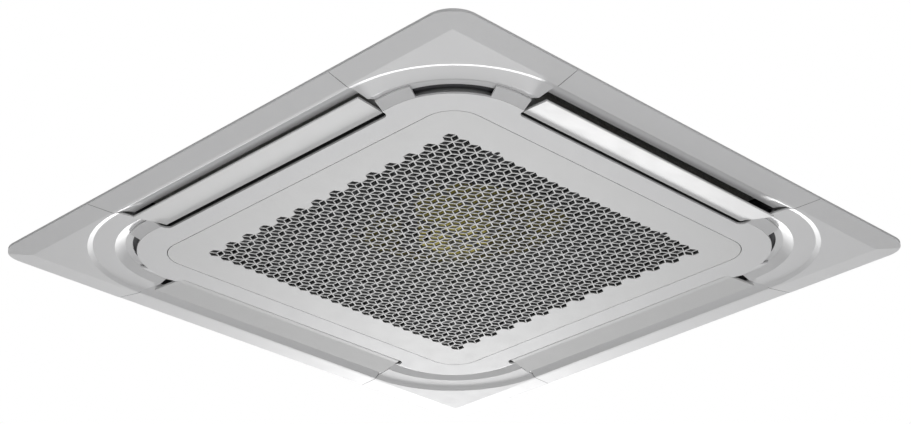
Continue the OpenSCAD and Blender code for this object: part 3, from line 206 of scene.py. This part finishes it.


# Beads turn darker towards their edges: painted shade in the creases between the beads.
BEAD_CREASE_SHADE, BEAD_ROUGH, BEAD_STRENGTH, BEAD_DEPTH = 0.86, 0.85, 0.5, 0.4 * MM
BEAD_EDGE = (0.1, 0.7)


def foam(name, rgb, bead=3.5 * MM):
    m, nt, sh = new_material(name)
    d = voronoi(nt, coords(nt), 1.0 / bead)
    edge = spread(nt, d, 0.0, 1.0, *BEAD_EDGE)
    nt.links.new(mix(nt, edge, rgb, shade(rgb, BEAD_CREASE_SHADE)), sh.inputs["Base Color"])
    sh.inputs["Roughness"].default_value = BEAD_ROUGH
    bump(nt, sh, d, BEAD_STRENGTH, -BEAD_DEPTH)
    return m


FIN_PITCH, FIN_ROUGH, FIN_STRENGTH, FIN_DEPTH = 2.2 * MM, 0.35, 0.8, 0.8 * MM
# The gap colour is painted shade, the dark of the deep gaps between fins on a solid block.
FIN_LINE, FIN_GAP_SHADE, FIN_EDGE = (-0.2, 0.8), (0.10, 0.10, 0.11), (0.72, 0.74, 0.76)


def fins(name):
    """Fin edges side by side, counted along X + Y so that each side of the coil has them, with
    painted shade in the gaps between them.
    """
    m, nt, sh = new_material(name)
    sh.inputs["Metallic"].default_value = 1.0
    x, y, _ = axes(nt, coords(nt))
    line = spread(nt, waves(nt, calc(nt, "ADD", x, y), FIN_PITCH), 0.0, 1.0, *FIN_LINE)
    nt.links.new(mix(nt, line, FIN_GAP_SHADE, FIN_EDGE), sh.inputs["Base Color"])
    sh.inputs["Roughness"].default_value = FIN_ROUGH
    bump(nt, sh, line, FIN_STRENGTH, FIN_DEPTH)
    return m


NET_PITCH, NET_ROUGH, NET_SCALE = 1.6 * MM, 0.7, 30.0
NET_THREAD, NET_DARK, NET_LIGHT = (0.55, 0.75), (0.05,) * 3, (0.09,) * 3
HOLE_ALPHA, THREAD_ALPHA = 0.02, 0.45


def net(name):
    """Crossing threads with clear holes between them."""
    m, nt, sh = new_material(name)
    vec = coords(nt)
    x, y, _ = axes(nt, vec)
    threads = [spread(nt, waves(nt, v, NET_PITCH), 0.0, 1.0, *NET_THREAD) for v in (x, y)]
    thread = calc(nt, "MAXIMUM", *threads)
    nt.links.new(mix(nt, noise(nt, vec, NET_SCALE), NET_DARK, NET_LIGHT), sh.inputs["Base Color"])
    nt.links.new(spread(nt, thread, HOLE_ALPHA, THREAD_ALPHA, 0.0, 1.0), sh.inputs["Alpha"])
    sh.inputs["Roughness"].default_value = NET_ROUGH
    return m


# The materials of this part

SMOOTH = 0.012
WHITE = lin(0.885, 0.885, 0.888)
GRILLE_WHITE = lin(0.875, 0.875, 0.875)
CELL_PAINTED_SHADE = lin(0.42, 0.42, 0.42)

# The panel plastic turns darker from 0.5 mm above the panel's top, a painted shade in its trough
# and hollows
m_panel = plastic("panel_plastic_painted_shade", WHITE, vary=SMOOTH, painted_shade=lin(0.36, 0.36, 0.37))
m_seam = plastic("seam_shadow", lin(0.40, 0.40, 0.41), 0.6)
m_cover = plastic("cover_plastic", WHITE, vary=SMOOTH)
m_flap = plastic("flap_plastic", lin(0.86, 0.86, 0.86), vary=0.010, gloss=0.05)
m_grille = plastic("grille_plastic", GRILLE_WHITE, vary=SMOOTH)
# The grille and its struts turn darker on the walls behind the face and light again at the back
# edge, a painted shade in the openings
m_cells = plastic("grille_cells_painted_shade", GRILLE_WHITE, vary=SMOOTH, painted_shade=CELL_PAINTED_SHADE,
                  band=(-7.5 * MM, -6.9 * MM), until=(-5.4 * MM, -5.3 * MM))
m_grey = plastic("grey_plastic", lin(0.52, 0.53, 0.54), vary=0.04)
m_latch = plastic("latch_plastic", lin(0.30, 0.30, 0.31), 0.45, vary=0.04)
m_olive = plastic("fan_plastic", lin(0.58, 0.54, 0.25), vary=0.06, grain=500.0, depth=0.1 * MM)
m_dark = plastic("dark_paint", lin(0.30, 0.31, 0.32), vary=0.05)
m_rubber = plastic("black_rubber", lin(0.10, 0.10, 0.10), 0.7, vary=0.1)
m_board = plastic("circuit_board", lin(0.08, 0.33, 0.18), 0.35, 0.15, grain=250.0, depth=0.2 * MM)
m_motor = metal("motor_case", (0.45, 0.46, 0.47), 0.38, brushed=True)
m_zinc = metal("galvanised_sheet", (0.62, 0.64, 0.66), 0.36, spangle=14 * MM)
m_steel = metal("zinc_plated_steel", (0.58, 0.58, 0.57), 0.28)
m_copper = metal("copper_tube", (0.78, 0.42, 0.26), 0.30, vary=0.12)
m_brass = metal("brass_union", (0.78, 0.60, 0.28), 0.25, vary=0.05)
m_fins = fins("coil_fins")
m_foam = foam("white_foam", lin(0.93, 0.93, 0.91))
m_seal = foam("black_foam", lin(0.13, 0.13, 0.13), 2 * MM)
m_net = net("filter_net")

LOOK = {
    "panel_frame": m_panel, "grille_box": m_panel, "outlet_ducts": m_panel,
    "corner_bases": m_panel, "side_strips": m_panel,
    "grille": m_cells, "grille_frame": m_grille, "filter_frame": m_grey, "filter_net": m_net,
    "latch_1": m_latch, "latch_2": m_latch, "panel_seal": m_seal, "panel_screws": m_steel,
    "cabinet_sides": m_zinc, "cabinet_top": m_zinc, "cable_plates": m_steel,
    "foam_liner": m_foam, "drain_pan": m_foam, "bell_mouth": m_dark, "bell_screws": m_steel,
    "fan": m_olive, "fan_blades": m_olive, "fan_shroud": m_olive,
    "fan_shaft": m_steel, "hub_nut": m_steel, "fan_motor": m_motor,
    "motor_bracket": m_steel, "motor_mounts": m_rubber, "motor_bolts": m_steel,
    "coil_fins": m_fins, "coil_end_plates": m_zinc, "coil_bends": m_copper,
    "gas_pipe": m_copper, "liquid_pipe": m_copper, "flare_unions": m_brass,
    "drain_pump": m_grey, "pump_impeller": m_foam, "drain_outlet": m_grey,
    "float_switch": m_grey, "float": m_foam,
    "control_box": m_zinc, "control_board": m_board, "control_cover": m_dark,
    "room_sensor": m_rubber,
}
for i in range(1, 5):
    LOOK["corner_cover_%d" % i] = m_cover
    LOOK["flap_%d" % i] = m_flap
    LOOK["flap_motor_%d" % i] = m_grey
    LOOK["hanger_bracket_%d" % i] = m_zinc
for name, obj in nodes.items():
    for s in obj.material_slots:
        s.material = LOOK[name]


# Pieces that ride on the frame


def new_object(name, verts, faces, material):
    mesh = bpy.data.meshes.new(name)
    mesh.from_pydata(verts, [], faces)
    mesh.validate()
    mesh.update()
    obj = bpy.data.objects.new(name, mesh)
    scene.collection.objects.link(obj)
    obj.data.materials.append(material)
    return obj


def piece(name, verts, faces, body, material):
    obj = new_object(name, verts, faces, material)
    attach(obj, body)
    return obj


# The three bars in each opening of the grille, which make its tumbling blocks. In mm, but for
# the pitch and the radius of the openings.
PITCH, ROWS, COLS = 21.7 * MM, 27, 24
CELL_R = PITCH / math.sqrt(3)
ROW_STEP = 1.5 * CELL_R
BAR_ANGLES = (30, 150, 270)
BAR_START, BAR_END_GAP = -0.3, 0.4
BAR_FACE_HALF, BAR_BACK_HALF, BAR_EDGE = 0.62, 0.92, 0.5
BAR_LOW_Z, BAR_HIGH_Z = -8.0 + 0.08, -8.0 + 2.3
BAR_OUTLINE = (
    (-BAR_FACE_HALF, BAR_LOW_Z), (BAR_FACE_HALF, BAR_LOW_Z),
    (BAR_BACK_HALF, BAR_LOW_Z + BAR_EDGE), (BAR_BACK_HALF, BAR_HIGH_Z),
    (-BAR_BACK_HALF, BAR_HIGH_Z), (-BAR_BACK_HALF, BAR_LOW_Z + BAR_EDGE),
)


def bar(verts, faces, cx, cy, angle):
    """A bar from an opening's centre to its edge, narrower at the face than behind."""
    d = Vector((math.cos(angle), math.sin(angle)))
    n = Vector((-d.y, d.x))
    c = Vector((cx, cy))
    base, count = len(verts), len(BAR_OUTLINE)
    for along in (BAR_START * MM, CELL_R - BAR_END_GAP * MM):
        for side, z in BAR_OUTLINE:
            p = c + d * along + n * side * MM
            verts.append((p.x, p.y, z * MM))
    close_prism(faces, base, count)


def close_prism(faces, base, count):
    """The walls and both ends between two rings of count points, the first at base."""
    for i in range(count):
        j = (i + 1) % count
        faces.append((base + i, base + j, base + count + j, base + count + i))
    faces.append(tuple(base + i for i in reversed(range(count))))
    faces.append(tuple(base + count + i for i in range(count)))


verts, faces = [], []
for row in range(ROWS):
    in_row = COLS - row % 2
    for col in range(in_row):
        for deg in BAR_ANGLES:
            bar(verts, faces, (col - (in_row - 1) / 2) * PITCH, (row - (ROWS - 1) / 2) * ROW_STEP,
                math.radians(deg))
piece("grille_struts", verts, faces, "grille_door", m_cells)

# The strips between the corner covers, with smooth ends at the slanted seams. In mm: u is the
# distance out from the centre, v the distance along a side.
PANEL_HALF, LIP_HALF, BORDER_H, RIM_H, CHAMFER = 475.0, 433.5, 7.0, 4.0, 0.8
SLOPE_W, FLANGE_W, SKIN, WALL, DECK_Z = 37.0, 12.0, 2.2, 2.0, 6.9
TROUGH_W, TROUGH_RISE, TROUGH_STEPS = 29.5, 10.0, 12
SEAM_HALF, SEAM_GAP, SEAM_SLOPE = 253.5, 0.5, math.tan(math.radians(10.8))
SLOPE_IN, FLANGE_IN, DUCT_OUT = PANEL_HALF - SLOPE_W, PANEL_HALF - FLANGE_W, LIP_HALF - TROUGH_W
DIRECTIONS = ((1, 0), (0, 1), (-1, 0), (0, -1))


def trough(k, up=0.0):
    """A point of the trough's wall, from its lip at 0 to the outlet at 1."""
    return (LIP_HALF - TROUGH_W * k, TROUGH_RISE * (1 - (1 - k) ** 2) - BORDER_H + up)


def seam_at(u):
    return SEAM_HALF - (PANEL_HALF - u) * SEAM_SLOPE


def at_side(side, u, v, z):
    out, along = DIRECTIONS[side], DIRECTIONS[(side + 1) % 4]
    return ((out[0] * u + along[0] * v) * MM, (out[1] * u + along[1] * v) * MM, z * MM)


back = 1 - WALL / TROUGH_W
fall = (BORDER_H - RIM_H) * (FLANGE_W - CHAMFER) / (SLOPE_W - CHAMFER)
outline = [
    (PANEL_HALF, 0.0), (PANEL_HALF, CHAMFER - RIM_H), (PANEL_HALF - CHAMFER, -RIM_H),
    (SLOPE_IN, -BORDER_H),
    *[trough(i / TROUGH_STEPS) for i in range(TROUGH_STEPS + 1)],
    (DUCT_OUT, DECK_Z), (DUCT_OUT + WALL, DECK_Z),
    *[trough(back * i / TROUGH_STEPS, SKIN) for i in range(TROUGH_STEPS, -1, -1)],
    (SLOPE_IN, SKIN - BORDER_H), (FLANGE_IN, SKIN - RIM_H - fall), (FLANGE_IN, 0.0),
]
verts, faces = [], []
for side in range(4):
    base = len(verts)
    for end in (-1, 1):
        verts += [at_side(side, u, end * (seam_at(u) - SEAM_GAP / 2), z) for u, z in outline]
    close_prism(faces, base, len(outline))
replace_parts(piece("strip_skins", verts, faces, "unit", m_panel), "side_strips")

# A thin dark line over each seam, from the rim into the trough
SEEN_FROM, SEEN_TO = 2, 9
LINE_HALF, LINE_EDGE, LINE_RIDGE = 0.55, -0.02, -0.10
LINE_OUTLINE = ((-LINE_HALF, LINE_EDGE), (0.0, LINE_RIDGE), (LINE_HALF, LINE_EDGE))
verts, faces = [], []
for side in range(4):
    for end in (-1, 1):
        line = outline[SEEN_FROM:SEEN_TO]
        base, across = len(verts), len(LINE_OUTLINE)
        for u, z in line:
            verts += [at_side(side, u, end * seam_at(u) + dv, z + dz) for dv, dz in LINE_OUTLINE]
        for i in range(len(line) - 1):
            for k in range(across - 1):
                a = base + across * i + k
                faces.append((a + across, a + across + 1, a + 1, a))
piece("seam_shadows", verts, faces, "unit", m_seam)


# Stage: floor, ceiling, world, lights and camera

SURFACE, SURFACE_ROUGH = (0.80, 0.80, 0.80, 1), 0.9
PURE_WHITE, SOFT_LEVEL, WHITE_LEVEL = (1, 1, 1, 1), 0.12, 1.0


def surface(name):
    m, nt, sh = new_material(name)
    sh.inputs["Base Color"].default_value = SURFACE
    sh.inputs["Roughness"].default_value = SURFACE_ROUGH
    return m, nt, sh


def white_source(nt, kind, level):
    n = nt.nodes.new(kind)
    n.inputs[0].default_value = PURE_WHITE
    n.inputs[1].default_value = level
    return n


def by_ray(nt, kinds, otherwise, shown, out):
    """Rays of these kinds meet the shader shown, and all others meet the shader otherwise."""
    path = nt.nodes.new("ShaderNodeLightPath")
    fac = path.outputs[kinds[0]]
    for kind in kinds[1:]:
        fac = calc(nt, "MAXIMUM", fac, path.outputs[kind])
    ms = nt.nodes.new("ShaderNodeMixShader")
    nt.links.new(fac, ms.inputs[0])
    nt.links.new(otherwise.outputs[0], ms.inputs[1])
    nt.links.new(shown.outputs[0], ms.inputs[2])
    nt.links.new(ms.outputs[0], out.inputs[0])


FLOOR_SIZE, FLOOR_Z = 90, -9.0
bpy.ops.mesh.primitive_plane_add(size=FLOOR_SIZE, location=(0, 0, FLOOR_Z))
floor = bpy.context.object
floor.name = "floor"
floor.data.materials.append(surface("pale_floor")[0])

# The ceiling that the panel closes, cut out just inside the panel's rim
m_ceiling, nt, sh = surface("white_ceiling")
glow = white_source(nt, "ShaderNodeEmission", WHITE_LEVEL)
by_ray(nt, ("Is Camera Ray", "Is Transmission Ray"), sh, glow, nt.nodes["Material Output"])
HOLE, HOLE_R, HOLE_STEPS, REACH, CEILING_Z = 0.4735, 0.0375, 8, 6.0, -0.2 * MM
ring = []
for q, (sx, sy) in enumerate(((1, 1), (-1, 1), (-1, -1), (1, -1))):
    for k in range(HOLE_STEPS + 1):
        a = math.radians(90 * q + 90 * k / HOLE_STEPS)
        ring.append((sx * (HOLE - HOLE_R) + HOLE_R * math.cos(a),
                     sy * (HOLE - HOLE_R) + HOLE_R * math.sin(a)))
n = len(ring)
outer = [(REACH * x / HOLE, REACH * y / HOLE) for x, y in ring]
verts = [(x, y, CEILING_Z) for x, y in ring + outer]
faces = [(i, (i + 1) % n, n + (i + 1) % n, n + i) for i in range(n)]
ceiling = new_object("ceiling", verts, faces, m_ceiling)

scene.world = bpy.data.worlds.new("studio")
scene.world.use_nodes = True
nt = scene.world.node_tree
nt.nodes.clear()
soft = white_source(nt, "ShaderNodeBackground", SOFT_LEVEL)
white = white_source(nt, "ShaderNodeBackground", WHITE_LEVEL)
by_ray(nt, ("Is Camera Ray", "Is Transmission Ray", "Is Glossy Ray"), soft, white,
       nt.nodes.new("ShaderNodeOutputWorld"))


def area(name, at, size, power, target=(0, 0, 0)):
    data = bpy.data.lights.new(name, "AREA")
    data.shape = "DISK"
    data.size = size
    data.energy = power
    obj = bpy.data.objects.new(name, data)
    scene.collection.objects.link(obj)
    obj.location = at
    obj.rotation_euler = (Vector(target) - Vector(at)).to_track_quat("-Z", "Y").to_euler()


area("key_far", (12.9, 13.1, -1.62), 2.6, 2850.0)
area("fill_near", (-1.6, -2.0, -3.2), 2.0, 46.0)
area("inside_fan", (0.0, 0.0, 0.0105), 0.29, 0.24, target=(0, 0, 1))

# The camera, from the four corners of the panel in the photo
PHOTO_WIDTH, FOCAL, SENSOR = 911, 2141.26, 36.0
CAMERA_AT = (-2.0015, -2.0028, -1.3815)
CAMERA_RIGHT, CAMERA_DOWN = (0.70903, -0.70515, -0.00625), (0.31621, 0.32585, -0.89098)
cam = bpy.data.cameras.new("camera")
cam_obj = bpy.data.objects.new("camera", cam)
scene.collection.objects.link(cam_obj)
cam.sensor_fit = "HORIZONTAL"
cam.sensor_width = SENSOR
cam.lens = FOCAL / PHOTO_WIDTH * SENSOR
cam.clip_end = 100.0
cam.shift_y = -0.0013
right = Vector(CAMERA_RIGHT).normalized()
forward = right.cross(Vector(CAMERA_DOWN)).normalized()
up = right.cross(forward).normalized()
turn = Matrix((right, up, -forward)).transposed()
cam_obj.matrix_world = Matrix.Translation(CAMERA_AT) @ turn.to_4x4()
scene.camera = cam_obj
scene.view_settings.view_transform = "Standard"
